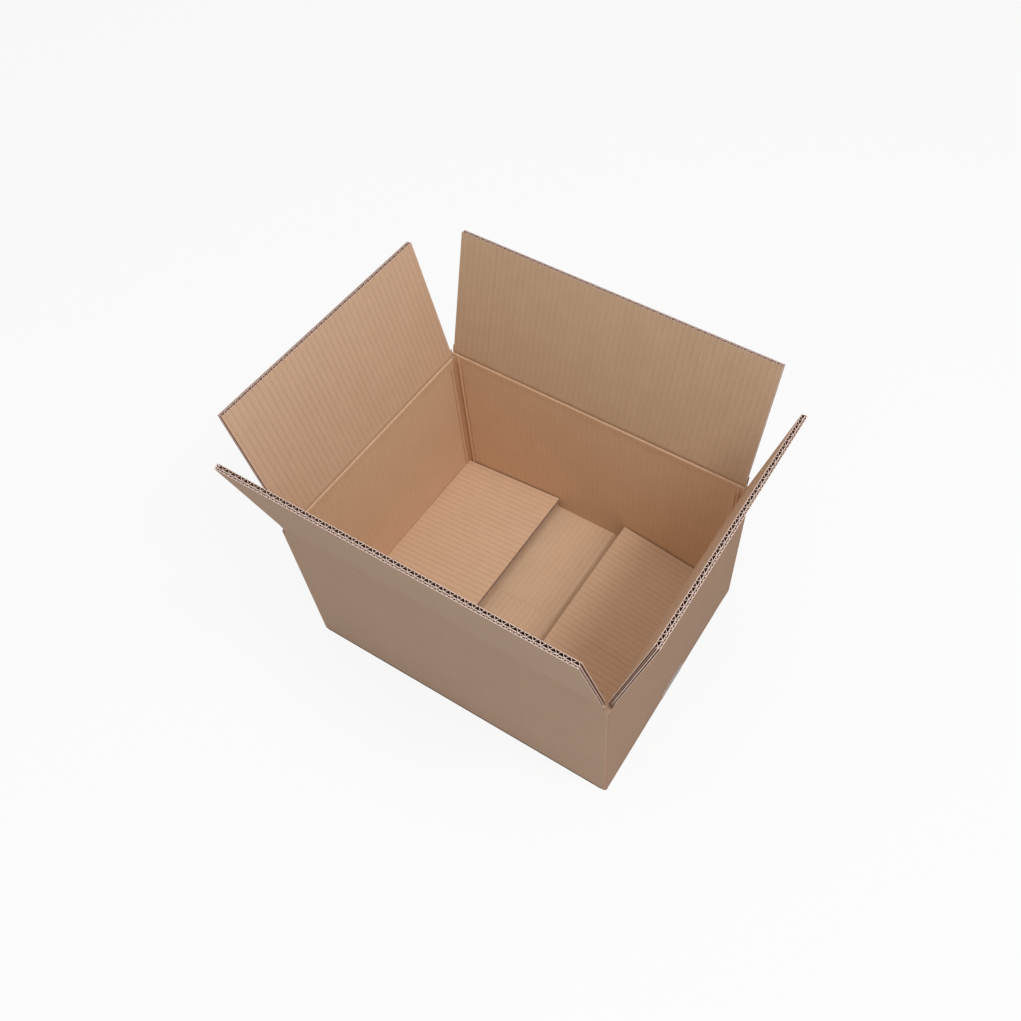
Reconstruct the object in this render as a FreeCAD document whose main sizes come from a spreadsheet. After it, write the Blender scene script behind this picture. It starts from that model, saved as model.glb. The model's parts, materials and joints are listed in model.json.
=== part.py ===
import FreeCAD, Part
import math
import os
import Sketcher

# Bottle shipping box, open: one folded sheet of double-wall corrugated board, taped along its bottom seam.
# Millimetres. The origin is the middle of the footprint, on the surface that the box stands on.
# The long walls lie along X and the end walls along Y. The front long wall is on the -Y side, and +Z is up.
# The four top flaps turn on crease lines inside the board, so each is a sub-part of its own.
# The walls, the glue tab and the four bottom flaps stay one piece, as they are in the sheet.

SIZES = (
    ("box_length", 400, "outside length, along the long walls"),
    ("box_width", 306, "outside width, along the end walls"),
    ("hinge_height", 221, "crease line of the long flaps above the ground"),
    ("board", 6, "thickness of the board"),
    ("liner", 0.45, "each of the three flat sheets in the board"),
    ("medium", 0.4, "each of the two fluted sheets in the board"),
    ("inner_flute", 2.7, "height of the larger flutes, next to the inner face"),
    ("inner_pitch", 7.36, "spacing of the larger flutes"),
    ("outer_pitch", 4.89, "spacing of the smaller flutes, next to the outer face"),
    ("flute_depth", 24, "how far the open flutes are followed in from a cut edge"),
    ("side_depth", 2.2, "how far the flutes are cut open along a flap's side edge"),
    ("side_start", 7, "start of that opening above the crease line"),
    ("edge_margin", 3.6, "board left between a flap's side edge and its first flute"),
    ("pivot_depth", 2.25, "crease line's depth inside the outer face"),
    ("hinge_gap", 0.15, "running gap between a flap's rounded root and the wall under it"),
    ("slot_gap", 0.4, "gap between a flap's side edge and the inner face of the next wall"),
    ("lap_gap", 0.3, "gap between a short flap and the long flap that lies on it"),
    ("seam_gap", 2, "gap between the two long flaps when they are closed"),
    ("lean_front", 15, "degrees that the front flap leans out from upright"),
    ("lean_back", 16.5, "degrees that the back flap leans out"),
    ("lean_left", 11.8, "degrees that the left flap leans out"),
    ("lean_right", 14.6, "degrees that the right flap leans out"),
    ("bottom_reach", 151.3, "bottom flaps' length from the wall's outer face"),
    ("bottom_seam", 0.3, "gap between the long bottom flaps"),
    ("tilt_left", 5.6, "degrees that the left bottom flap springs up"),
    ("tilt_right", 9.4, "degrees that the right bottom flap springs up"),
    ("foot_gap", 3.4, "end walls' lower fold above the ground"),
    ("fold_round", 3, "rounding of the long walls' lower folds"),
    ("corner_round", 4, "rounding of the upright folds, outside"),
    ("corner_flat", 7, "flat across each inside corner, measured along the wall"),
    ("bead_round", 1.4, "rounding along the walls' inner top edges"),
    ("tab_board", 3, "thickness of the crushed glue tab"),
    ("tab_width", 38, "width of the glue tab"),
    ("tab_taper", 10, "slope of the tab's two ends"),
    ("tab_clear", 8, "tab's ends clear of the folds above and below"),
    ("tape_width", 48, "width of the packing tape"),
    ("tape_film", 0.1, "thickness of the packing tape"),
    ("tape_turn", 20, "height of the tape's ends up the end walls"),
    ("tape_bed", 0.2, "play around the tape in the dent that it presses into the board"),
)

document = FreeCAD.newDocument("BottleShippingBox")
sheet = document.addObject("Spreadsheet::Sheet", "Sizes")
for row, (alias, size, meaning) in enumerate(SIZES, start=1):
    sheet.set(f"A{row}", meaning)
    sheet.set(f"B{row}", str(size))
    sheet.setAlias(f"B{row}", alias)
document.recompute()

# Lengths that follow from the driving sizes, as formulas on the sheet
END_X = "Sizes.box_length / 2"
SIDE_Y = "Sizes.box_width / 2"
INSET = "(Sizes.board + Sizes.slot_gap)"
ROOT = "(Sizes.board - Sizes.pivot_depth)"
LAP = "(Sizes.board + Sizes.lap_gap)"
LONG_TOP = f"(Sizes.hinge_height - {ROOT} - Sizes.hinge_gap)"
END_TOP = f"({LONG_TOP} - {LAP})"
SHORT_HINGE = f"(Sizes.hinge_height - {LAP})"
LONG_SPAN = f"(Sizes.box_length - 2 * {INSET})"
SHORT_SPAN = f"(Sizes.box_width - 2 * {INSET})"
LONG_REACH = "(Sizes.box_width / 2 - Sizes.pivot_depth - Sizes.seam_gap / 2)"
SHORT_REACH = f"({LONG_REACH} + {LAP})"
OUTER_FLUTE = "(Sizes.board - 3 * Sizes.liner - Sizes.inner_flute)"


def number(formula):
    """The value of a formula on the sheet."""
    return float(sheet.evalExpression(formula))


def vector(across, up):
    return FreeCAD.Vector(across, up, 0)


def sketch_on(body, name, role, offset=None):
    """A sketch on one of the body's own planes, moved off it by a formula along the plane's normal."""
    plane = next(item for item in body.Origin.OriginFeatures if item.Role == role)
    sketch = body.newObject("Sketcher::SketchObject", name)
    sketch.AttachmentSupport = [(plane, "")]
    sketch.MapMode = "FlatFace"
    if offset:
        sketch.setExpression("AttachmentOffset.Base.z", offset)
    return sketch


def tie(sketch, kind, edge, end, formula):
    """Holds one end of an edge at a formula's distance from the sketch's origin."""
    index = sketch.addConstraint(Sketcher.Constraint(kind, -1, 1, edge, end, number(formula)))
    sketch.setExpression(f"Constraints[{index}]", formula)


def outline(sketch, corners):
    """A closed outline of straight edges through corners given as pairs of formulas."""
    spots = [vector(number(across), number(up)) for across, up in corners]
    first = sketch.GeometryCount
    count = len(corners)
    for place, spot in enumerate(spots):
        sketch.addGeometry(Part.LineSegment(spot, spots[(place + 1) % count]))
    for place, (across, up) in enumerate(corners):
        edge = first + place
        following = first + (place + 1) % count
        sketch.addConstraint(Sketcher.Constraint("Coincident", edge, 2, following, 1))
        tie(sketch, "DistanceX", edge, 1, across)
        tie(sketch, "DistanceY", edge, 1, up)


def rectangle(sketch, left, low, right, high):
    outline(sketch, ((left, low), (right, low), (right, high), (left, high)))


def pad(body, name, sketch, length, symmetric=False, backwards=False):
    feature = body.newObject("PartDesign::Pad", name)
    feature.Profile = sketch
    feature.setExpression("Length", length)
    if symmetric:
        feature.SideType = "Symmetric"
    feature.Reversed = backwards
    document.recompute()


def pocket(body, name, sketch, depth):
    """A cut into the board, against the sketch's normal. It has to take some board away."""
    before = body.Shape.Volume
    feature = body.newObject("PartDesign::Pocket", name)
    feature.Profile = sketch
    feature.setExpression("Length", depth)
    feature.Refine = False
    document.recompute()
    if body.Shape.Volume >= before:
        raise RuntimeError(f"{name} cuts nothing")
    return feature


def repeat(body, name, feature, sketch, count, pitch):
    """Copies of a cut in a row along the sketch's horizontal axis."""
    pattern = body.newObject("PartDesign::LinearPattern", name)
    pattern.Originals = [feature]
    pattern.Direction = (sketch, ["H_Axis"])
    pattern.Refine = False
    pattern.setExpression("Length", f"({count} - 1) * {pitch}")
    pattern.setExpression("Occurrences", count)
    body.Tip = pattern
    document.recompute()


def mirror(body, name, feature, role):
    copy = body.newObject("PartDesign::Mirrored", name)
    copy.Originals = [feature]
    copy.MirrorPlane = (next(item for item in body.Origin.OriginFeatures if item.Role == role), [""])
    copy.Refine = False
    body.Tip = copy
    document.recompute()


def round_edges(body, name, radius, wanted):
    """Rounds the straight edges whose two ends pass the test."""
    base = body.Tip
    names = []
    for index, edge in enumerate(base.Shape.Edges, start=1):
        ends = [vertex.Point for vertex in edge.Vertexes]
        if len(ends) == 2 and isinstance(edge.Curve, Part.Line) and all(wanted(end) for end in ends):
            if wanted((ends[0] + ends[1]) / 2):
                names.append(f"Edge{index}")
    if not names:
        raise RuntimeError(f"{name} finds no edge")
    feature = body.newObject("PartDesign::Fillet", name)
    feature.Base = (base, names)
    feature.setExpression("Radius", radius)
    document.recompute()


def near(value, formula):
    return abs(value - number(formula)) < 1e-4


def open_flutes(body, name, span, offset, inner_face, outward):
    """The board's cut edge: two rows of open flutes, the larger by the inner face.

    The sketch plane is the cut edge, its horizontal axis runs along it, inner_face is the inner face's place
    on the other axis, and outward is the sign of the way from the inner face to the outer one.
    """
    inner_low = f"({inner_face} {outward} Sizes.liner)"
    inner_high = f"({inner_low} {outward} Sizes.inner_flute)"
    outer_high = f"({inner_high} {outward} Sizes.liner {outward} {OUTER_FLUTE})"
    tip = "Sizes.medium / 2"

    pitch = "Sizes.inner_pitch"
    count = f"floor(({span} - 2 * Sizes.edge_margin - {pitch} / 2) / {pitch})"
    start = f"(-({count} + 0.5) * {pitch} / 2)"
    large = offset(body, f"{name}_large_flute")
    facing_in = (
        (f"{start} + Sizes.medium", inner_low),
        (f"{start} + {pitch} - Sizes.medium", inner_low),
        (f"{start} + {pitch} / 2", f"{inner_high} - (0 {outward} {tip})"),
    )
    facing_out = (
        (f"{start} + {pitch} / 2 + Sizes.medium", inner_high),
        (f"{start} + 1.5 * {pitch} - Sizes.medium", inner_high),
        (f"{start} + {pitch}", f"{inner_low} + (0 {outward} {tip})"),
    )
    outline(large, facing_in)
    outline(large, facing_out)
    cut = pocket(body, f"{name}_large_cut", large, "Sizes.flute_depth")
    repeat(body, f"{name}_large_row", cut, large, count, pitch)

    pitch = "Sizes.outer_pitch"
    count = f"floor(({span} - 2 * Sizes.edge_margin) / {pitch})"
    start = f"(-{count} * {pitch} / 2)"
    small = offset(body, f"{name}_small_flute")
    outline(small, (
        (f"{start} + Sizes.medium", outer_high),
        (f"{start} + {pitch} - Sizes.medium", outer_high),
        (f"{start} + {pitch} / 2", f"{outer_high} - (0 {outward} ({OUTER_FLUTE} - {tip}))"),
    ))
    cut = pocket(body, f"{name}_small_cut", small, "Sizes.flute_depth")
    repeat(body, f"{name}_small_row", cut, small, count, pitch)


def open_sides(body, name, span, reach):
    """The flap's two side edges, cut along the flutes, so that each shows three liners and two long gaps."""
    side = sketch_on(body, f"{name}_side", "YZ_Plane", f"{span} / 2")
    inner_high = f"({ROOT} - Sizes.liner)"
    inner_low = f"({inner_high} - Sizes.inner_flute)"
    outer_high = f"({inner_low} - Sizes.liner)"
    outer_low = "(Sizes.liner - Sizes.pivot_depth)"
    rectangle(side, inner_low, "Sizes.side_start", inner_high, reach)
    rectangle(side, outer_low, "Sizes.side_start", outer_high, reach)
    cut = pocket(body, f"{name}_side_cut", side, "Sizes.side_depth")
    mirror(body, f"{name}_sides", cut, "YZ_Plane")


def top_flap(label, span, reach, spot, turn, lean):
    """A top flap, built upright on its crease line and then leaned out about it.

    Its own X runs along the crease, its outer face looks to -Y, and Z points to its free edge. The root is
    round about the crease line, so that it turns on the wall's top edge without cutting into it. spot is the
    middle of the crease line, turn the way that the flap faces, and lean how far it leans out.
    """
    body = document.addObject("PartDesign::Body", label)
    body.Label = label
    section = sketch_on(body, f"{label}_section", "YZ_Plane")
    outer = -number("Sizes.pivot_depth")
    inner = number(ROOT)
    top = number(reach)
    low = -math.sqrt(inner ** 2 - outer ** 2)
    centre = vector(0, 0)
    section.addGeometry(Part.LineSegment(vector(outer, low), vector(outer, top)))
    section.addGeometry(Part.LineSegment(vector(outer, top), vector(inner, top)))
    section.addGeometry(Part.LineSegment(vector(inner, top), vector(inner, 0)))
    circle = Part.Circle(centre, FreeCAD.Vector(0, 0, 1), inner)
    section.addGeometry(Part.ArcOfCircle(circle, math.atan2(low, outer), 0))
    joins = ((0, 2, 1, 1), (1, 2, 2, 1), (2, 2, 3, 2), (3, 1, 0, 1), (3, 3, -1, 1))
    for edge, end, other, other_end in joins:
        section.addConstraint(Sketcher.Constraint("Coincident", edge, end, other, other_end))
    for kind, edge in (("Vertical", 0), ("Horizontal", 1), ("Vertical", 2)):
        section.addConstraint(Sketcher.Constraint(kind, edge))
    section.addConstraint(Sketcher.Constraint("PointOnObject", 2, 2, -1))
    tie(section, "DistanceX", 0, 2, "-Sizes.pivot_depth")
    tie(section, "DistanceY", 0, 2, reach)
    tie(section, "DistanceX", 2, 1, ROOT)
    pad(body, f"{label}_board", section, span, symmetric=True)

    open_flutes(body, label, span, lambda owner, name: sketch_on(owner, name, "XY_Plane", reach), ROOT, "-")
    open_sides(body, label, span, reach)

    faced = f"create(<<rotation>>; create(<<vector>>; 0; 0; 1); {turn})"
    leaned = f"create(<<rotation>>; create(<<vector>>; 1; 0; 0); {lean})"
    body.setExpression("Placement", f"create(<<placement>>; create(<<vector>>; {spot}); {faced} * {leaned})")
    document.recompute()
    return body


def bottom_flap(body, name, side, tilt):
    """A short bottom flap, which lies on the long ones and springs up towards its free edge.

    side is -1 for the left end and 1 for the right end.
    """
    sign = "-" if side < 0 else ""
    back = "-" if side > 0 else ""
    wall = f"({sign}({END_X} - Sizes.board))"
    length = f"((Sizes.bottom_reach - Sizes.board) / cos({tilt}))"
    low_x = f"({wall} + {back}{length} * cos({tilt}))"
    low_z = f"({LAP} + {length} * sin({tilt}))"
    high_x = f"({low_x} - {back}Sizes.board * sin({tilt}))"
    high_z = f"({low_z} + Sizes.board * cos({tilt}))"
    buried = f"({wall} - {back}Sizes.board / 2)"
    section = sketch_on(body, f"{name}_section", "XZ_Plane")
    outline(section, (
        (buried, f"{LAP} - Sizes.board / 2 * tan({tilt})"),
        (low_x, low_z),
        (high_x, high_z),
        (buried, f"{LAP} + Sizes.board / cos({tilt}) - Sizes.board / 2 * tan({tilt})"),
    ))
    pad(body, f"{name}_board", section, SHORT_SPAN, symmetric=True)

    def cut_edge(owner, label):
        """A sketch on the flap's free edge, its horizontal axis along Y and its other axis up the edge."""
        sketch = sketch_on(owner, label, "YZ_Plane")
        spot = f"create(<<vector>>; 0; {low_z}; {low_x})"
        lean = f"create(<<rotation>>; create(<<vector>>; 1; 0; 0); -{tilt})"
        if side > 0:
            lean = f"create(<<rotation>>; create(<<vector>>; 0; 1; 0); 180) * {lean}"
        sketch.setExpression("AttachmentOffset", f"create(<<placement>>; {spot}; {lean})")
        return sketch

    open_flutes(body, name, SHORT_SPAN, cut_edge, "Sizes.board", "-")


def box_body():
    """The walls, the glue tab and the four bottom flaps, which stay as they were folded and taped."""
    body = document.addObject("PartDesign::Body", "box_body")
    body.Label = "box_body"

    ring = sketch_on(body, "wall_ring", "XY_Plane", "Sizes.foot_gap")
    rectangle(ring, f"-{END_X}", f"-{SIDE_Y}", END_X, SIDE_Y)
    inner_x = f"({END_X} - Sizes.board)"
    inner_y = f"({SIDE_Y} - Sizes.board)"
    short_x = f"({inner_x} - Sizes.corner_flat)"
    short_y = f"({inner_y} - Sizes.corner_flat)"
    outline(ring, (
        (f"-{short_x}", f"-{inner_y}"),
        (short_x, f"-{inner_y}"),
        (inner_x, f"-{short_y}"),
        (inner_x, short_y),
        (short_x, inner_y),
        (f"-{short_x}", inner_y),
        (f"-{inner_x}", short_y),
        (f"-{inner_x}", f"-{short_y}"),
    ))
    pad(body, "walls", ring, f"{END_TOP} - Sizes.foot_gap")
    round_edges(
        body, "upright_folds", "Sizes.corner_round",
        lambda point: near(abs(point.x), END_X) and near(abs(point.y), SIDE_Y),
    )

    slot_x = f"({END_X} - {INSET})"
    tops = sketch_on(body, "long_wall_tops", "XY_Plane", END_TOP)
    rectangle(tops, f"-{slot_x}", f"-{SIDE_Y}", slot_x, f"-{inner_y}")
    rectangle(tops, f"-{slot_x}", inner_y, slot_x, SIDE_Y)
    pad(body, "walls_above_slots", tops, LAP)
    round_edges(
        body, "crease_beads", "Sizes.bead_round",
        lambda point: near(point.z, LONG_TOP) and near(abs(point.y), inner_y),
    )

    floor = sketch_on(body, "floor_outline", "XY_Plane")
    rectangle(floor, f"-{slot_x}", f"-{SIDE_Y}", slot_x, SIDE_Y)
    pad(body, "long_bottom_flaps", floor, "Sizes.board")
    seam = sketch_on(body, "seam_outline", "XY_Plane", "Sizes.board")
    rectangle(seam, f"-{END_X}", "-Sizes.bottom_seam / 2", END_X, "Sizes.bottom_seam / 2")
    pocket(body, "bottom_seam", seam, "Sizes.board")
    round_edges(
        body, "lower_folds", "Sizes.fold_round",
        lambda point: near(point.z, "0") and near(abs(point.y), SIDE_Y),
    )
    bed_half = "(Sizes.tape_width / 2 + Sizes.tape_bed)"
    bed = sketch_on(body, "tape_bed_outline", "XY_Plane", "Sizes.tape_film")
    rectangle(bed, f"-{END_X}", f"-{bed_half}", END_X, bed_half)
    pocket(body, "tape_bed", bed, "Sizes.tape_film")

    bottom_flap(body, "bottom_flap_left", -1, "Sizes.tilt_left")
    bottom_flap(body, "bottom_flap_right", 1, "Sizes.tilt_right")

    tab = sketch_on(body, "tab_outline", "YZ_Plane", f"{inner_x}")
    tab_edge = f"({inner_y} - Sizes.tab_width)"
    tab_low = f"({LAP} + Sizes.board + Sizes.tab_clear)"
    tab_high = f"({END_TOP} - Sizes.tab_clear)"
    outline(tab, (
        (inner_y, tab_low),
        (inner_y, tab_high),
        (tab_edge, f"{tab_high} - Sizes.tab_taper"),
        (tab_edge, f"{tab_low} + Sizes.tab_taper"),
    ))
    pad(body, "glue_tab", tab, "Sizes.tab_board", backwards=True)
    return body


def bottom_tape():
    """Clear packing tape along the bottom seam. Each end bridges from the long flaps to the end wall."""
    body = document.addObject("PartDesign::Body", "bottom_tape")
    body.Label = "bottom_tape"
    film = "Sizes.tape_film"
    slot_x = f"({END_X} - {INSET})"
    foot_x = f"({END_X} + {film})"
    section = sketch_on(body, "tape_section", "XZ_Plane")
    outline(section, (
        (f"-{foot_x}", "Sizes.tape_turn"),
        (f"-{foot_x}", "Sizes.foot_gap"),
        (f"-{slot_x}", "0"),
        (slot_x, "0"),
        (foot_x, "Sizes.foot_gap"),
        (foot_x, "Sizes.tape_turn"),
        (END_X, "Sizes.tape_turn"),
        (END_X, f"Sizes.foot_gap + {film} / 2"),
        (f"{slot_x} - {film}", film),
        (f"{film} - {slot_x}", film),
        (f"-{END_X}", f"Sizes.foot_gap + {film} / 2"),
        (f"-{END_X}", "Sizes.tape_turn"),
    ))
    pad(body, "tape_strip", section, "Sizes.tape_width", symmetric=True)
    return body


HINGE_X = f"({END_X} - Sizes.pivot_depth)"
HINGE_Y = f"({SIDE_Y} - Sizes.pivot_depth)"
FRONT = f"0; -{HINGE_Y}; Sizes.hinge_height"
BACK = f"0; {HINGE_Y}; Sizes.hinge_height"
LEFT = f"-{HINGE_X}; 0; {SHORT_HINGE}"
RIGHT = f"{HINGE_X}; 0; {SHORT_HINGE}"
pieces = [
    box_body(),
    top_flap("top_flap_front", LONG_SPAN, LONG_REACH, FRONT, 0, "Sizes.lean_front"),
    top_flap("top_flap_back", LONG_SPAN, LONG_REACH, BACK, 180, "Sizes.lean_back"),
    top_flap("top_flap_left", SHORT_SPAN, SHORT_REACH, LEFT, -90, "Sizes.lean_left"),
    top_flap("top_flap_right", SHORT_SPAN, SHORT_REACH, RIGHT, 90, "Sizes.lean_right"),
    bottom_tape(),
]

document.recompute()
for item in document.Objects:
    if "Invalid" in item.State or "Error" in item.State:
        raise RuntimeError(f"{item.Name} failed: {item.State}")
for piece in pieces:
    if piece.Shape.isNull() or not piece.Shape.isValid() or len(piece.Shape.Solids) != 1:
        raise RuntimeError(f"{piece.Label} is not one valid solid")

os.makedirs("parts", exist_ok=True)
for piece in pieces:
    piece.Shape.exportStep(f"parts/{piece.Label}.step")
    box = piece.Shape.BoundBox
    print(f"{piece.Label}: {piece.Shape.Volume / 1000:.1f} cm3, {len(piece.Shape.Faces)} faces")
    print(f"  X {box.XMin:.1f} to {box.XMax:.1f}, Y {box.YMin:.1f} to {box.YMax:.1f}")
    print(f"  Z {box.ZMin:.1f} to {box.ZMax:.1f}")
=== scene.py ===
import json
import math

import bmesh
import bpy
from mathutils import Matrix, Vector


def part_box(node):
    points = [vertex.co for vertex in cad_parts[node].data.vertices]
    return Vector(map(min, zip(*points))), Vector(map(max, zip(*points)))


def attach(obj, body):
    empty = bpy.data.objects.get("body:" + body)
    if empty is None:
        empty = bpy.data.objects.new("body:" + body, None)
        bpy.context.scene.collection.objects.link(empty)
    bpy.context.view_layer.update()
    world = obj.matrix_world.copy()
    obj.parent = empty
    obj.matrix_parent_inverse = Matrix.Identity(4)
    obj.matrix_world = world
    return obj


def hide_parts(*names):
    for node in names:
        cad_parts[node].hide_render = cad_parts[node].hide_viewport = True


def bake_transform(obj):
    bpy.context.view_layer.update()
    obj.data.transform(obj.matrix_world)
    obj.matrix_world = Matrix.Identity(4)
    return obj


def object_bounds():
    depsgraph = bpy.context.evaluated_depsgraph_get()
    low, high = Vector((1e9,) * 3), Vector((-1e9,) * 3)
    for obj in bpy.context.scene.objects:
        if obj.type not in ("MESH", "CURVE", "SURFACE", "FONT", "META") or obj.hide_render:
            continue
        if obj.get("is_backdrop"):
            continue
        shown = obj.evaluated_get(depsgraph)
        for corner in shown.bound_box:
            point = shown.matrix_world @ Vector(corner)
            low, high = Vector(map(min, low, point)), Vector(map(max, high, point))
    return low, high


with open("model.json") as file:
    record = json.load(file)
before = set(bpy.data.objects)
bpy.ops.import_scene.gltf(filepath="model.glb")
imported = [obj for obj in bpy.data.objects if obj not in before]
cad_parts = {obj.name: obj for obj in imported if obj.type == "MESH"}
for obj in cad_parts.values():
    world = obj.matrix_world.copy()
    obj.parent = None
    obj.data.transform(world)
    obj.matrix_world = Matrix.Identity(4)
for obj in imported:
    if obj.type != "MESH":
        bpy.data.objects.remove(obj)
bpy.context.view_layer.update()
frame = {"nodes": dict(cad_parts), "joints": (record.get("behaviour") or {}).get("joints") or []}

# %% [markdown]
# # An open shipping box of double-wall board
# The box is one folded sheet of corrugated board. Double-wall board is three flat papers, the liners, with
# two fluted papers between them. The finished look comes from three things: the flutes that show at every
# cut edge, the pressed creases where the sheet folds, and the dry brown kraft paper.
#
# This file dresses the solids of the part. Every size comes from the solids or from the board's own sizes,
# in metres. X runs along the long walls, Y along the end walls, and Z is up.

MM = 0.001
body_low, body_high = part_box("box_body")
HALF_LENGTH, HALF_WIDTH = body_high[0], body_high[1]
LONG_WALL_TOP = body_high[2]

folds = {joint["child"]: joint for joint in frame["joints"]}
for child, joint in folds.items():
    joint["lean"] = math.radians(-90 - joint["range_deg"][0])
    print(child, "folds at", joint["pos_m"], "and leans", round(math.degrees(joint["lean"]), 1), "degrees")

# %% [markdown]
# ## The board
# A few real sizes describe the board: its thickness, the papers, and the spacing of the two rows of flutes.
# The larger flutes lie next to the inside of the box, as in the photograph. The papers are drawn a little
# thicker than the real 0.45 and 0.4 mm, as thick as they need to be to show from where the camera stands.

# %% The board's sizes
BOARD = 6 * MM
LINER = 0.6 * MM
FLUTED_PAPER = 0.5 * MM
LARGE_PITCH = 7.36 * MM
SMALL_PITCH = 4.89 * MM
LARGE_FLUTE = 2.7 * MM
SMALL_FLUTE = BOARD - 3 * LINER - LARGE_FLUTE
print("flutes", round(LARGE_FLUTE / MM, 2), "and", round(SMALL_FLUTE / MM, 2), "mm high")

# %% [markdown]
# A flap turns about a fold line that runs inside the board, nearer to its outer face. The flap's own axes
# start there, so the two faces of the board lie before and behind zero. The short flaps fold in under the
# long ones, so their fold lines, and the end walls, are lower by one board and a little play.

# %% The flaps' sizes
OUTER_FACE = -2.25 * MM
INNER_FACE = OUTER_FACE + BOARD
SLOT_GAP = 0.4 * MM
SEAM_HALF = 1 * MM
LAP = BOARD + 0.3 * MM
END_WALL_TOP = LONG_WALL_TOP - LAP
LONG_SPAN = 2 * (HALF_LENGTH - BOARD - SLOT_GAP)
SHORT_SPAN = 2 * (HALF_WIDTH - BOARD - SLOT_GAP)
LONG_REACH = HALF_WIDTH + OUTER_FACE - SEAM_HALF
SHORT_REACH = LONG_REACH + LAP
print("long flap", round(LONG_SPAN / MM, 1), "x", round(LONG_REACH / MM, 1), "mm")
print("short flap", round(SHORT_SPAN / MM, 1), "x", round(SHORT_REACH / MM, 1), "mm")

# %% [markdown]
# ## Helpers for modelling by hand
# Operators act on whatever is selected, so the first helper makes one object the only selected one. Another
# one selects corners, edges or faces by their place, which stands in for clicking on them.

# %% Selecting
TOUCH = 0.02 * MM
SLACK = 0.01 * MM


def only(obj):
    bpy.ops.object.select_all(action="DESELECT")
    obj.select_set(True)
    bpy.context.view_layer.objects.active = obj


def edit(obj):
    """Opens one object's mesh, as the Tab key does, with nothing selected in it."""
    only(obj)
    bpy.ops.object.mode_set(mode="EDIT")
    bpy.ops.mesh.select_all(action="DESELECT")


def leave():
    bpy.ops.object.mode_set(mode="OBJECT")


def pick(kind, test):
    """Selects the corners (VERT), edges or faces whose every corner passes the test, and nothing else."""
    bpy.ops.mesh.select_mode(type=kind)
    bpy.ops.mesh.select_all(action="DESELECT")
    mesh = bmesh.from_edit_mesh(bpy.context.edit_object.data)
    parts = {"VERT": mesh.verts, "EDGE": mesh.edges, "FACE": mesh.faces}[kind]
    chosen = [part for part in parts if all(test(v.co) for v in ([part] if kind == "VERT" else part.verts))]
    for part in chosen:
        part.select_set(True)
    mesh.select_flush_mode()
    bmesh.update_edit_mesh(bpy.context.edit_object.data)
    return len(chosen)


def near(value, target):
    return abs(value - target) < TOUCH


# %% [markdown]
# The next helpers are the few moves that come back in every piece: pulling chosen corners, cutting straight
# through, applying a modifier, and joining what belongs to one sheet.

# %% Shaping
def pull(test, shift):
    """Moves the corners that pass the test, and says how many there were."""
    count = pick("VERT", test)
    bpy.ops.transform.translate(value=shift)
    return count


def cut(point, normal, **options):
    """A straight cut through everything in the mesh that is being edited."""
    bpy.ops.mesh.select_all(action="SELECT")
    bpy.ops.mesh.bisect(plane_co=point, plane_no=normal, **options)


def settle(obj):
    """Puts the object's place, turn and size into its mesh."""
    only(obj)
    bpy.ops.object.transform_apply(location=True, rotation=True, scale=True)


def modify(obj, kind, **settings):
    """Adds a modifier and applies it at once."""
    only(obj)
    modifier = obj.modifiers.new(kind.title(), kind)
    for key, value in settings.items():
        setattr(modifier, key, value)
    bpy.ops.object.modifier_apply(modifier=modifier.name)


def block(name, low, high):
    """A cube primitive between two corners, as the start of a piece."""
    bpy.ops.object.select_all(action="DESELECT")
    centre = [(a + b) / 2 for a, b in zip(low, high)]
    bpy.ops.mesh.primitive_cube_add(size=1, location=centre)
    obj = bpy.context.object
    obj.name = obj.data.name = name
    obj.scale = [b - a for a, b in zip(low, high)]
    settle(obj)
    return obj


def join(name, objects):
    only(objects[0])
    for obj in objects:
        obj.select_set(True)
    bpy.ops.object.join()
    objects[0].name = objects[0].data.name = name
    return objects[0]


def smooth(obj, degrees=35):
    """Shades gentle bends smooth and keeps the board's cut edges sharp."""
    only(obj)
    bpy.ops.object.shade_smooth_by_angle(angle=math.radians(degrees))


# %% [markdown]
# ## Kraft paper
# The liners are brown kraft paper: unbleached wood pulp, pressed on a paper machine. Light scatters in it, so
# it is matt, and its fibres give fine darker and paler specks. The flutes under the paper show through as
# very low ridges, the washboard. A picture of paper could be laid over the sheet, but a pattern made of nodes
# stays sharp at any distance. One function makes the paper for both directions of the sheet: the ridges
# follow one another along X on the long walls' part of the sheet and along Y on the end walls' part.

# %% Colours and nodes
def linear(text):
    """A colour written as sRGB hex, as the linear numbers that a shader wants."""
    parts = [int(text[i:i + 2], 16) / 255 for i in (1, 3, 5)]
    return [c / 12.92 if c <= 0.04045 else ((c + 0.055) / 1.055) ** 2.4 for c in parts] + [1]


def add(tree, kind, links=None, **settings):
    """A node with its settings. links maps an input's name or number to another node's output."""
    node = tree.nodes.new(kind)
    for key, value in settings.items():
        if hasattr(node, key):
            setattr(node, key, value)
        else:
            node.inputs[key.replace("_", " ")].default_value = value
    for socket, source in (links or {}).items():
        tree.links.new(source, node.inputs[socket])
    return node


def new_material(name):
    material = bpy.data.materials.new(name)
    material.use_nodes = True
    material.node_tree.nodes.clear()
    return material, material.node_tree


# %% The kraft liners
# A Wave Texture at scale 1 repeats after this length, so this over the pitch is the scale that fits.
WAVE_UNIT = math.pi / 10
# Fibre specks are finer than this on real paper. They are drawn as coarse as they need to be to show.
SPECK_SIZE = 1.6 * MM
CLOUD_SIZE = 28 * MM
FIBRE_RELIEF = 0.12 * MM


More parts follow.
